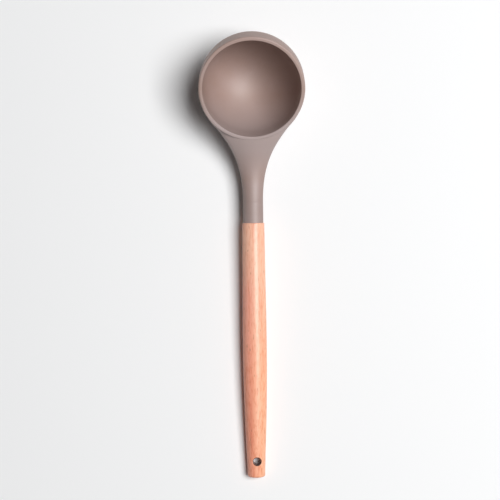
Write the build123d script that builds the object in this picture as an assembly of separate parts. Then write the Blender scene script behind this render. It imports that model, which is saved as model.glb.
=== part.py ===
from build123d import *
import os
from math import asin, atan2, copysign, cos, degrees, hypot, pi, radians, sin, sqrt, tan

# A soup ladle: a stiffened silicone head on a beech handle. Millimetres and degrees.
# It is drawn with the rim level and its centre at the origin, the bowl hanging down and the
# handle running towards -Y. At the end it is laid down as it lies on a table, on the bottom
# of the bowl and the end of the handle, with +Z up and the bowl towards +Y.

# Bowl: a straight wall on a half ball, with a flat lip, rounded more on its outer edge
bowl_radius = 38.0
bowl_depth = 50.0
bowl_wall = 2.8
lip_outer_round = 1.1
lip_inner_round = 0.45
skin_thickness = 0.85
core_lip_round = 0.3

# Neck: the bar that meets the handle, and the flare that joins it to the bowl
bar_width = 14.7
bar_thickness = 12.0
neck_length = 62.2
neck_rise = 3.7
neck_angle = 20.3
flare_radius = 86.5
flare_angle = 40.0
wing_stand = 1.5
root_tuck = 0.4
root_drop = 18.0
lip_step = 0.1

# Handle: beech, oval, widest past its middle
handle_length = 188.0
handle_width = 17.7
handle_thickness = 14.2
joint_edge_round = 0.5
end_edge_round = 1.6

# Hanging hole through the handle
hole_radius = 3.0
hole_from_end = 12.0
hole_side_step = 0.6
hole_edge_round = 0.5

# Tang and its seat
tang_radius = 2.5
tang_in_neck = 26.0
tang_in_handle = 55.0
tang_edge = 0.4
glue_gap = 0.3
glue_below_tang = 1.5

overrun = 5.0

# Shares of the handle's length, and of its greatest width and thickness there
handle_shares = [
    (0.0, 0.910, 0.930),
    (0.17, 0.945, 0.960),
    (0.33, 0.982, 0.990),
    (0.48, 1.0, 1.0),
    (0.64, 0.968, 0.975),
    (0.80, 0.878, 0.905),
    (0.93, 0.775, 0.820),
    (1.0, 0.728, 0.780),
]

# Neck stations: shares of the run from the wings' root to the end of the flare
neck_station_shares = [0.0, 0.06, 0.12, 0.18, 0.25, 0.33, 0.42, 0.54, 0.66, 0.78, 0.89, 1.0]
wing_root_share = 0.32
dip_end_share = 0.72
root_edge_share = 0.42
bar_edge_share = 0.5
lip_slope = -0.22
neck_side_share = 0.62
handle_side_share = 0.66

joint_reach = bowl_radius + neck_length
bar_half = bar_width / 2
ball_drop = bowl_depth - bowl_radius
slope = tan(radians(neck_angle))
axis_step = Vector(0, -cos(radians(neck_angle)), sin(radians(neck_angle)))
joint_centre = Vector(0, -joint_reach, neck_rise)
handle_plane = Plane(origin=joint_centre, x_dir=(1, 0, 0), z_dir=axis_step)

# Where the flare's arc starts and ends, with its straight part touching the bowl's outline
flare_start_half = bar_half + flare_radius * (1 - cos(radians(flare_angle)))
flare_start = (
    bowl_radius + wing_stand - flare_start_half * cos(radians(flare_angle))
) / sin(radians(flare_angle))
flare_end = flare_start + flare_radius * sin(radians(flare_angle))
wing_root = wing_root_share * bowl_radius
wing_touch = (bowl_radius + wing_stand) * sin(radians(flare_angle))


def oval(half_width, rise, drop, middle, side_share):
    """A closed outline of six arcs: widest at the height middle, rise above it, drop below."""
    outline = []
    for height in (rise, -drop):
        up = copysign(1, height)
        side = side_share * min(abs(height), half_width)
        flat_half = half_width - side
        crown = (flat_half**2 + height**2 - side**2) / (2 * (abs(height) - side))
        lean = atan2(flat_half, crown - abs(height))
        meet = (crown * sin(lean), middle + up * (crown * cos(lean) - crown + abs(height)))
        bend = (pi / 2 - lean) / 2
        knee = (flat_half + side * cos(bend), middle + up * side * sin(bend))
        right = ThreePointArc((half_width, middle), knee, meet)
        across = ThreePointArc(meet, (0, middle + height), (-meet[0], meet[1]))
        left = ThreePointArc((-meet[0], meet[1]), (-knee[0], knee[1]), (-half_width, middle))
        outline += [right, across, left]
    return make_face(Wire(outline))


def ease(start, end, start_slope, end_slope, run, share):
    """Height on a smooth line that leaves and arrives at the given slopes."""
    rest = 1 - share
    return (
        start * (1 + 2 * share) * rest**2
        + start_slope * run * share * rest**2
        + end * share**2 * (3 - 2 * share)
        - end_slope * run * share**2 * rest
    )


def neck_half_width(reach):
    """Half of the neck's width, at a distance from the bowl's axis."""
    if reach < wing_touch:
        share = (reach - wing_root) / (wing_touch - wing_root)
        stand = wing_stand * share**2 * (3 - 2 * share) - root_tuck * (1 - share)
        return sqrt((bowl_radius + stand) ** 2 - reach**2)
    if reach < flare_start:
        return flare_start_half + (flare_start - reach) * tan(radians(flare_angle))
    back = max(flare_end - reach, 0)
    return bar_half + flare_radius - sqrt(flare_radius**2 - back**2)


def neck_heights(reach):
    """Top, widest line and underside of the neck, at a distance from the bowl's axis."""
    half_height = bar_thickness / 2 / cos(radians(neck_angle))
    dip_end = bowl_radius + dip_end_share * (flare_end - bowl_radius)
    if reach >= dip_end:
        middle = neck_rise - (joint_reach - reach) * slope
        return middle + half_height, middle, middle - half_height
    bar_middle = neck_rise - (joint_reach - dip_end) * slope
    run = dip_end - bowl_radius
    share = max(reach - bowl_radius, 0) / run
    top = ease(-lip_step, bar_middle + half_height, lip_slope, slope, run, share)
    bottom = ease(-root_drop, bar_middle - half_height, 0, slope, run, share)
    edge_share = root_edge_share + (bar_edge_share - root_edge_share) * share
    return top, top - edge_share * (top - bottom), bottom


def neck_section(reach, inset):
    """The neck's section across its length, drawn upright, a little smaller all round by inset."""
    top, middle, bottom = neck_heights(reach)
    face = oval(
        neck_half_width(reach) - inset,
        top - inset - middle,
        middle - bottom - inset,
        middle,
        neck_side_share,
    )
    return Plane(origin=(0, -reach, 0), x_dir=(1, 0, 0), z_dir=(0, -1, 0)) * face


def bowl_shell(inset, outer_round, inner_round):
    """The bowl's wall, thinner by inset on every side, with a flat lip and rounded edges."""
    outer = bowl_radius - inset
    inner = bowl_radius - bowl_wall + inset
    half = sin(pi / 4)
    outer_bend = outer_round * (1 - half)
    inner_bend = inner_round * (1 - half)
    outline = Polyline((0, -ball_drop - inner), (0, -ball_drop - outer))
    outline += ThreePointArc(
        (0, -ball_drop - outer), (outer * half, -ball_drop - outer * half), (outer, -ball_drop)
    )
    outline += Line((outer, -ball_drop), (outer, -inset - outer_round))
    outline += ThreePointArc(
        (outer, -inset - outer_round),
        (outer - outer_bend, -inset - outer_bend),
        (outer - outer_round, -inset),
    )
    outline += Line((outer - outer_round, -inset), (inner + inner_round, -inset))
    outline += ThreePointArc(
        (inner + inner_round, -inset),
        (inner + inner_bend, -inset - inner_bend),
        (inner, -inset - inner_round),
    )
    outline += Line((inner, -inset - inner_round), (inner, -ball_drop))
    outline += ThreePointArc(
        (inner, -ball_drop), (inner * half, -ball_drop - inner * half), (0, -ball_drop - inner)
    )
    return revolve(Plane.XZ * make_face(outline), Axis.Z)


def neck_form(inset):
    """The neck from inside the bowl's wall to the joint, without what would stand in the bowl."""
    sections = []
    for share in neck_station_shares:
        sections.append(neck_section(wing_root + share * (flare_end - wing_root), inset))
    flare = loft(sections)
    bar_end = joint_reach + bar_thickness
    bar = loft([neck_section(flare_end, inset), neck_section(bar_end, inset)])
    past_joint = handle_plane.location * Pos(0, 0, bar_thickness) * Box(
        2 * bar_width, 2 * (bar_thickness + overrun), 2 * bar_thickness
    )
    bowl_space = Pos(0, 0, -bowl_depth / 2) * Cylinder(
        bowl_radius - bowl_wall / 2, bowl_depth + 2 * overrun
    )
    return flare + bar - past_joint - bowl_space


def head_form(inset, outer_round, inner_round):
    """Bowl and neck in one, smaller all round by inset."""
    return bowl_shell(inset, outer_round, inner_round) + neck_form(inset)


def rod(radius, start, end):
    """A round bar along the handle's axis, from one distance past the joint to another."""
    return handle_plane.location * Pos(0, 0, (start + end) / 2) * Cylinder(radius, end - start)


def make_tang():
    plain = rod(tang_radius, -tang_in_neck, tang_in_handle)
    ends = plain.edges().filter_by(GeomType.CIRCLE)
    return chamfer(ends, tang_edge)


def make_handle():
    sections = []
    for along, width_share, thickness_share in handle_shares:
        half_thickness = thickness_share * handle_thickness / 2
        half_width = width_share * handle_width / 2
        face = oval(half_width, half_thickness, half_thickness, 0, handle_side_share)
        sections.append(handle_plane.offset(along * handle_length) * face)
    body = loft(sections)
    ends = body.faces().sort_by(Axis(joint_centre, axis_step))
    body = fillet(ends[-1].edges(), end_edge_round)
    ends = body.faces().sort_by(Axis(joint_centre, axis_step))
    body = fillet(ends[0].edges(), joint_edge_round)
    bore_depth = tang_in_handle + glue_below_tang
    body -= rod(tang_radius + glue_gap, -overrun, bore_depth)
    hole = Pos(hole_side_step, 0, handle_length - hole_from_end) * Rot(90, 0, 0) * Cylinder(
        hole_radius, handle_thickness + 2 * overrun
    )
    body -= handle_plane.location * hole
    walls = body.faces().filter_by(GeomType.CYLINDER).sort_by(Axis(joint_centre, axis_step))
    return fillet(walls[-1].edges().filter_by(GeomType.BSPLINE), hole_edge_round)


def lying_tilt():
    """How far the rim leans towards the handle when bowl and handle end rest on a table."""
    end_centre = joint_centre + axis_step * (handle_length - end_edge_round)
    end_drop = handle_shares[-1][2] * handle_thickness / 2 - end_edge_round
    end_y = end_centre.Y - end_drop * sin(radians(neck_angle))
    end_z = end_centre.Z - end_drop * cos(radians(neck_angle))
    reach = hypot(end_y, end_z + ball_drop)
    return degrees(
        atan2(end_z + ball_drop, -end_y) + asin((bowl_radius - end_edge_round) / reach)
    )


def main():
    core_form = head_form(skin_thickness, core_lip_round, core_lip_round)
    tang = make_tang()
    glue_seat = rod(tang_radius + glue_gap, 0, tang_in_handle + glue_below_tang)
    parts = {
        "silicone_head": head_form(0, lip_outer_round, lip_inner_round) - core_form,
        "nylon_core": core_form - tang,
        "steel_tang": tang,
        "epoxy_bond": glue_seat - tang,
        "wooden_handle": make_handle(),
    }
    laid = Rot(lying_tilt(), 0, 0)
    box = (laid * Compound([parts["silicone_head"], parts["wooden_handle"]])).bounding_box()
    drop = Pos(0, -(box.max.Y + box.min.Y) / 2, -box.min.Z)
    os.makedirs("parts", exist_ok=True)
    for name, shape in parts.items():
        export_step(drop * laid * shape, f"parts/{name}.step")
    print("tilt when lying, degrees:", round(lying_tilt(), 2))
    print("length lying, mm:", round(box.size.Y, 1))


main()
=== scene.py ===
# A soup ladle on a pale table: a silicone bowl and neck on a beech handle.
# Everything is in metres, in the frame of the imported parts: +Z up, +Y towards the bowl.
import math
import bpy
from mathutils import Matrix

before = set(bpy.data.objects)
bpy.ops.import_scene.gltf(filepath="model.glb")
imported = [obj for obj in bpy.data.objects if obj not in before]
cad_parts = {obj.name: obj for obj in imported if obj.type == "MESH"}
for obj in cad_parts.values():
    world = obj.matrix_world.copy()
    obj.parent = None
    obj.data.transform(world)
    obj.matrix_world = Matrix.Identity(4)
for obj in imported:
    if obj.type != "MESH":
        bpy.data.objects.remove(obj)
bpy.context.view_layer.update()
bpy.ops.object.select_all(action="DESELECT")
print("parts:", sorted(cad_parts))


# Shorthands for building materials
def addNode(tree, kind, inputs=None, **settings):
    node = tree.nodes.new(kind)
    for name, value in settings.items():
        setattr(node, name, value)
    for socket, value in (inputs or {}).items():
        if isinstance(value, bpy.types.NodeSocket):
            tree.links.new(value, node.inputs[socket])
        else:
            node.inputs[socket].default_value = value
    return node


def newMaterial(name, finish):
    material = bpy.data.materials.new(name)
    material.use_nodes = True
    tree = material.node_tree
    shader = tree.nodes["Principled BSDF"]
    for socket, value in finish.items():
        shader.inputs[socket].default_value = value
    return material, tree, shader


def objectPoint(tree, stretch=(1, 1, 1), shift=(0, 0, 0)):
    place = addNode(tree, "ShaderNodeTexCoord").outputs["Object"]
    mapping = {"Vector": place, "Location": shift, "Scale": stretch}
    return addNode(tree, "ShaderNodeMapping", mapping).outputs["Vector"]


def noise(tree, pattern):
    # A stretch under 1 draws the pattern out along the ladle
    point = objectPoint(tree, (1, pattern.get("stretch", 1), 1))
    node = addNode(tree, "ShaderNodeTexNoise", {"Vector": point, "Scale": pattern["scale"]})
    node.inputs["Detail"].default_value = pattern["detail"]
    node.inputs["Roughness"].default_value = pattern["roughness"]
    return node.outputs["Fac"]


def ramp(tree, factor, stops):
    node = addNode(tree, "ShaderNodeValToRGB", {"Fac": factor})
    node.color_ramp.elements[0].position, node.color_ramp.elements[0].color = stops[0]
    node.color_ramp.elements[1].position, node.color_ramp.elements[1].color = stops[-1]
    for position, colour in stops[1:-1]:
        node.color_ramp.elements.new(position).color = colour
    return node.outputs["Color"]


def share(tree, value, start, end, kind="SMOOTHSTEP"):
    node = addNode(tree, "ShaderNodeMapRange", {"Value": value, "From Min": start, "From Max": end})
    node.interpolation_type = kind
    return node.outputs["Result"]


def mixColour(tree, factor, first, second, blend="MIX"):
    node = addNode(tree, "ShaderNodeMix", data_type="RGBA", blend_type=blend)
    # By number, because the node's sockets for colours share their names with others
    for socket, value in ((0, factor), (6, first), (7, second)):
        if isinstance(value, bpy.types.NodeSocket):
            tree.links.new(value, node.inputs[socket])
        else:
            node.inputs[socket].default_value = value
    return node.outputs[2]


def addRelief(tree, shader, height, relief):
    bump = addNode(tree, "ShaderNodeBump", {"Height": height, "Strength": relief["strength"]})
    bump.inputs["Distance"].default_value = relief["depth"]
    tree.links.new(bump.outputs["Normal"], shader.inputs["Normal"])


def giveMaterial(piece, material):
    piece.data.materials.clear()
    piece.data.materials.append(material)


# Silicone: matt taupe, faintly clouded. Where the neck starts it is painted paler and greyer, and
# its bar greyer: both are painted sheen
silicone = {
    "finish": {"Roughness": 0.56, "Specular IOR Level": 0.95},
    "clouds": {"scale": 28.0, "detail": 4.0, "roughness": 0.6},
    "cloudTones": [(0.35, (0.308, 0.196, 0.156, 1)), (0.7, (0.343, 0.234, 0.206, 1))],
    # Painted sheen: a pale grey laid where the neck starts, in place of the lamp's sheen there
    "paintedSheen": (0.384, 0.302, 0.287, 1),
    "paintedSheenFrom": 0.02,
    "paintedSheenTo": 0.12,
    "paintedSheenAlong": [
        (0.0, (0, 0, 0, 1)),
        (0.38, (0.05, 0.05, 0.05, 1)),
        (0.58, (0.9, 0.9, 0.9, 1)),
        (0.74, (1, 1, 1, 1)),
        (1.0, (0.15, 0.15, 0.15, 1)),
    ],
    # Painted sheen: the neck's bar is made greyer, in place of the neutral sheen on it
    "barPaintedSheen": (0.89, 0.955, 1, 1),
    "barSheenFrom": 0.085,
    "barSheenTo": 0.028,
    "grain": {"scale": 2600.0, "detail": 2.0, "roughness": 0.5},
    "relief": {"strength": 0.15, "depth": 0.00002},
}


def siliconeMaterial():
    material, tree, shader = newMaterial("taupeSilicone", silicone["finish"])
    colour = ramp(tree, noise(tree, silicone["clouds"]), silicone["cloudTones"])
    place = addNode(tree, "ShaderNodeSeparateXYZ", {"Vector": objectPoint(tree)})
    # Painted sheen where the neck starts, fading in and out along its length
    length = share(tree, place.outputs["Y"], silicone["paintedSheenFrom"], silicone["paintedSheenTo"], "LINEAR")
    paintedSheen = ramp(tree, length, silicone["paintedSheenAlong"])
    colour = mixColour(tree, paintedSheen, colour, silicone["paintedSheen"])
    # Painted sheen: greyer along the neck's bar
    bar = share(tree, place.outputs["Y"], silicone["barSheenFrom"], silicone["barSheenTo"])
    colour = mixColour(tree, bar, colour, silicone["barPaintedSheen"], "MULTIPLY")
    tree.links.new(colour, shader.inputs["Base Color"])
    addRelief(tree, shader, noise(tree, silicone["grain"]), silicone["relief"])
    return material


giveMaterial(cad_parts["silicone_head"], siliconeMaterial())

# Beech: orange-brown with lengthwise streaks, pores and flecks. Its tones run from the neck to
# the handle's end. Its left side, away from the lamp, and the inside of the hanging hole carry
# painted shade.
beech = {
    "finish": {"Roughness": 0.33, "Specular IOR Level": 0.45},
    "streaks": {"scale": 260.0, "stretch": 0.045, "detail": 5.0, "roughness": 0.6},
    "streakTones": [
        (0.3, (0.88, 0.44, 0.29, 1)),
        (0.5, (0.975, 0.575, 0.39, 1)),
        (0.72, (0.98, 0.62, 0.445, 1)),
    ],
    "grain": {"scale": 950.0, "stretch": 0.16, "detail": 3.0, "roughness": 0.6},
    "grainTones": [(0.46, (1, 1, 1, 1)), (0.66, (0.84, 0.66, 0.58, 1))],
    "grainAtNeck": 0.55,
    "neckEnd": 0.02,
    "farEnd": -0.165,
    "tones": [
        (0.0, (1, 0.95, 0.97, 1)),
        (0.32, (1, 0.90, 0.86, 1)),
        (0.62, (1, 0.85, 0.77, 1)),
        (1.0, (0.98, 0.83, 0.74, 1)),
    ],
    # Painted shade: the left side, away from the lamp, is darkened and reddened
    "leftShadeColour": (1, 0.80, 0.85, 1),
    "leftFrom": 0.003,
    "leftTo": -0.004,
    "leftStartsAt": -0.05,
    "leftFullAt": 0.2,
    "flecks": {"scale": 900.0, "stretch": 0.16, "detail": 2.0, "roughness": 0.5},
    "fleckShares": [(0.66, (0, 0, 0, 1)), (0.74, (0.6, 0.6, 0.6, 1))],
    "fleckColour": (0.35, 0.15, 0.07, 1),
    "holeCentre": (0.0006, -0.15007),
    "holeRadius": 0.0031,
    "holeEdge": 0.0004,
    # Painted shade: the inside of the hanging hole is painted dark
    "holeShadeColour": (0.22, 0.075, 0.045, 1),
    "relief": {"strength": 0.35, "depth": 0.0001},
}


def beechMaterial():
    material, tree, shader = newMaterial("oiledBeech", beech["finish"])
    place = addNode(tree, "ShaderNodeSeparateXYZ", {"Vector": objectPoint(tree)})
    length = share(tree, place.outputs["Y"], beech["neckEnd"], beech["farEnd"])

    streaks = noise(tree, beech["streaks"])
    colour = ramp(tree, streaks, beech["streakTones"])
    grain = noise(tree, beech["grain"])
    grainTone = ramp(tree, grain, beech["grainTones"])
    fade = {"Value": length, "To Min": beech["grainAtNeck"]}
    grainShare = addNode(tree, "ShaderNodeMapRange", fade).outputs["Result"]
    colour = mixColour(tree, grainShare, colour, grainTone, "MULTIPLY")
    colour = mixColour(tree, 1.0, colour, ramp(tree, length, beech["tones"]), "MULTIPLY")

    # Painted shade on the handle's left side, away from the lamp
    left = share(tree, place.outputs["X"], beech["leftFrom"], beech["leftTo"])
    pastNeck = share(tree, length, beech["leftStartsAt"], beech["leftFullAt"])
    leftShadeShare = addNode(tree, "ShaderNodeMath", {0: left, 1: pastNeck}, operation="MULTIPLY")
    colour = mixColour(tree, leftShadeShare.outputs[0], colour, beech["leftShadeColour"], "MULTIPLY")

    fleckShare = ramp(tree, noise(tree, beech["flecks"]), beech["fleckShares"])
    colour = mixColour(tree, fleckShare, colour, beech["fleckColour"])

    # Painted shade inside the hanging hole
    holeX, holeY = beech["holeCentre"]
    fromHole = objectPoint(tree, (1, 1, 0), (-holeX, -holeY, 0))  # flattened, for its distance
    distance = addNode(tree, "ShaderNodeVectorMath", {0: fromHole}, operation="LENGTH")
    outside = beech["holeRadius"] + beech["holeEdge"]
    hole = share(tree, distance.outputs["Value"], outside, beech["holeRadius"])
    colour = mixColour(tree, hole, colour, beech["holeShadeColour"])
    tree.links.new(colour, shader.inputs["Base Color"])

    height = addNode(tree, "ShaderNodeMath", {0: streaks, 1: grain}, operation="ADD")
    addRelief(tree, shader, height.outputs[0], beech["relief"])
    return material


giveMaterial(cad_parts["wooden_handle"], beechMaterial())

# The pieces inside the head and the handle: each has two close tones in a fine pattern
nylon = {
    "finish": {"Roughness": 0.5},
    "pattern": {"scale": 900.0, "detail": 3.0, "roughness": 0.6},
    "tones": [(0.3, (0.030, 0.030, 0.030, 1)), (0.7, (0.055, 0.055, 0.055, 1))],
}
steel = {
    "finish": {"Metallic": 1.0, "Roughness": 0.3},
    "pattern": {"scale": 1500.0, "stretch": 0.04, "detail": 3.0, "roughness": 0.6},
    "tones": [(0.3, (0.50, 0.50, 0.49, 1)), (0.7, (0.62, 0.62, 0.61, 1))],
}
glue = {
    "finish": {"Roughness": 0.25},
    "pattern": {"scale": 400.0, "detail": 3.0, "roughness": 0.6},
    "tones": [(0.3, (0.50, 0.42, 0.24, 1)), (0.7, (0.66, 0.57, 0.38, 1))],
}
insideRelief = {"strength": 0.2, "depth": 0.00005}


def insideMaterial(name, look):
    material, tree, shader = newMaterial(name, look["finish"])
    pattern = noise(tree, look["pattern"])
    tree.links.new(ramp(tree, pattern, look["tones"]), shader.inputs["Base Color"])
    addRelief(tree, shader, pattern, insideRelief)
    return material


giveMaterial(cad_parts["nylon_core"], insideMaterial("mouldedNylon", nylon))
giveMaterial(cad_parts["steel_tang"], insideMaterial("drawnSteel", steel))
giveMaterial(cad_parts["epoxy_bond"], insideMaterial("curedGlue", glue))
print("materials given")

# The table
table = {
    "half": 1.6,
    "finish": {"Base Color": (0.90, 0.905, 0.91, 1), "Roughness": 0.6},
}


def layTable():
    bpy.ops.mesh.primitive_plane_add(size=2 * table["half"], location=(0, 0, 0))
    piece = bpy.context.object
    piece.name = "tableTop"
    material = newMaterial("paleTable", table["finish"])[0]
    giveMaterial(piece, material)


layTable()

# One large softbox, up and to the right, in a dim room with a pale backdrop
softbox = {"over": (1.42, 0.18), "height": 3.0, "size": (1.9, 1.7), "power": 132.0}
room = {"colour": (1, 1, 1, 1), "strength": 0.015, "backdrop": 0.9}


def hangSoftbox():
    lamp = bpy.data.lights.new("softbox", "AREA")
    lamp.shape = "RECTANGLE"
    lamp.size, lamp.size_y = softbox["size"]
    lamp.energy = softbox["power"]
    box = bpy.data.objects.new("softbox", lamp)
    bpy.context.scene.collection.objects.link(box)
    box.location = (*softbox["over"], softbox["height"])


def lightRoom():
    world = bpy.data.worlds.new("room")
    world.use_nodes = True
    tree = world.node_tree
    rays = addNode(tree, "ShaderNodeLightPath").outputs
    seen = rays["Is Camera Ray"]
    for ray in ("Is Glossy Ray", "Is Transmission Ray"):
        either = addNode(tree, "ShaderNodeMath", {0: seen, 1: rays[ray]}, operation="MAXIMUM")
        seen = either.outputs[0]
    levels = {"Value": seen, "To Min": room["strength"], "To Max": room["backdrop"]}
    strength = addNode(tree, "ShaderNodeMapRange", levels).outputs["Result"]
    background = tree.nodes["Background"]
    background.inputs["Color"].default_value = room["colour"]
    tree.links.new(strength, background.inputs["Strength"])
    bpy.context.scene.world = world


hangSoftbox()
lightRoom()

# The camera looks straight down and sees a strip of the table as wide as tableWidth
camera = {
    "over": (-0.0027, 0.0059),
    "height": 1.0,
    "rollDegrees": -0.73,
    "sensor": 36.0,
    "tableWidth": 0.3725,
    "reach": 20.0,
}


def placeCamera():
    data = bpy.data.cameras.new("topView")
    data.sensor_width = camera["sensor"]
    data.lens = camera["sensor"] * camera["height"] / camera["tableWidth"]
    data.clip_end = camera["reach"]
    stand = bpy.data.objects.new("topView", data)
    bpy.context.scene.collection.objects.link(stand)
    roll = Matrix.Rotation(math.radians(camera["rollDegrees"]), 4, "Z")
    stand.matrix_world = Matrix.Translation((*camera["over"], camera["height"])) @ roll
    bpy.context.scene.camera = stand


placeCamera()
bpy.context.scene.view_settings.view_transform = "Standard"
print("table, light and camera placed")
